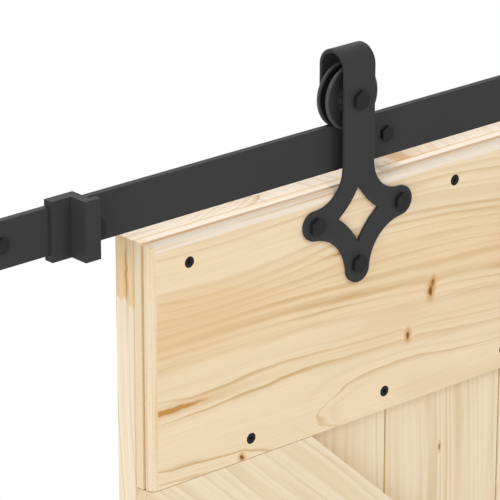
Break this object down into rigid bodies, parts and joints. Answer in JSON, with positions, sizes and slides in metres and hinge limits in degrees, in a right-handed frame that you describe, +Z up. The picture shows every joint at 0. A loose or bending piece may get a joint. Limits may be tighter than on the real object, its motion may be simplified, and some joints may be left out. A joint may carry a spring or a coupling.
{
  "type": "sliding barn door",
  "caption": "Sliding pine barn door, ledged and braced, hung from a flat steel wall rail by looped straps with a diamond window and grooved rollers, with rail stops and a floor guide.",
  "frame": {"origin": "on the wall plane, on the axis of the rail's middle lag bolt", "axes": "+X along the rail to the right, +Y into the wall, +Z up"},
  "size_m": [1.83, 0.101, 2.2599],
  "materials": {
    "black_coat": "satin",
    "bare_steel": "brushed",
    "rubber": "matte",
    "pine": "matte"
  },
  "bodies": {
    "track": {"rail": "black_coat", "wall_spacers": "black_coat", "lag_bolts": "black_coat", "end_stop_left": "black_coat", "end_stop_right": "black_coat", "bumper_left": "rubber", "bumper_right": "rubber", "stop_screws": "bare_steel", "floor_guide": "black_coat"},
    "door": {"strap_left": "black_coat", "strap_right": "black_coat", "axle_bolt_left": "black_coat", "axle_bolt_right": "black_coat", "axle_bushes_left": "bare_steel", "axle_bushes_right": "bare_steel", "axle_nut_left": "black_coat", "axle_nut_right": "black_coat", "door_bolts_left": "black_coat", "door_bolts_right": "black_coat", "sleeve_nuts_left": "black_coat", "sleeve_nuts_right": "black_coat", "core_board_1": "pine", "core_board_2": "pine", "core_board_3": "pine", "core_board_4": "pine", "core_board_5": "pine", "core_board_6": "pine", "core_board_7": "pine", "ledge_top": "pine", "ledge_middle": "pine", "ledge_bottom": "pine", "brace_upper": "pine", "brace_lower": "pine", "ledge_screws_top": "black_coat", "ledge_screws_middle": "black_coat", "ledge_screws_bottom": "black_coat", "brace_screws": "black_coat"},
    "left_wheel": {"wheel_left": "black_coat", "wheel_bearing_left": "bare_steel"},
    "right_wheel": {"wheel_right": "black_coat", "wheel_bearing_right": "bare_steel"}
  },
  "joints": [
    {"name": "door_slide", "type": "slide", "parent": "track", "child": "door", "axis": [1, 0, 0], "range_m": [-0.2527, 0.6215]},
    {"name": "left_wheel_roll", "type": "hinge", "parent": "door", "child": "left_wheel", "pos_m": [-0.4485, -0.037, 0.0423], "axis": [0, 1, 0], "continuous": true},
    {"name": "right_wheel_roll", "type": "hinge", "parent": "door", "child": "right_wheel", "pos_m": [0.0797, -0.037, 0.0423], "axis": [0, 1, 0], "continuous": true}
  ],
  "couplings": [
    {"joint": "left_wheel_roll", "follows": "door_slide", "rad_per_m": 45.455},
    {"joint": "right_wheel_roll", "follows": "door_slide", "rad_per_m": 45.455}
  ]
}
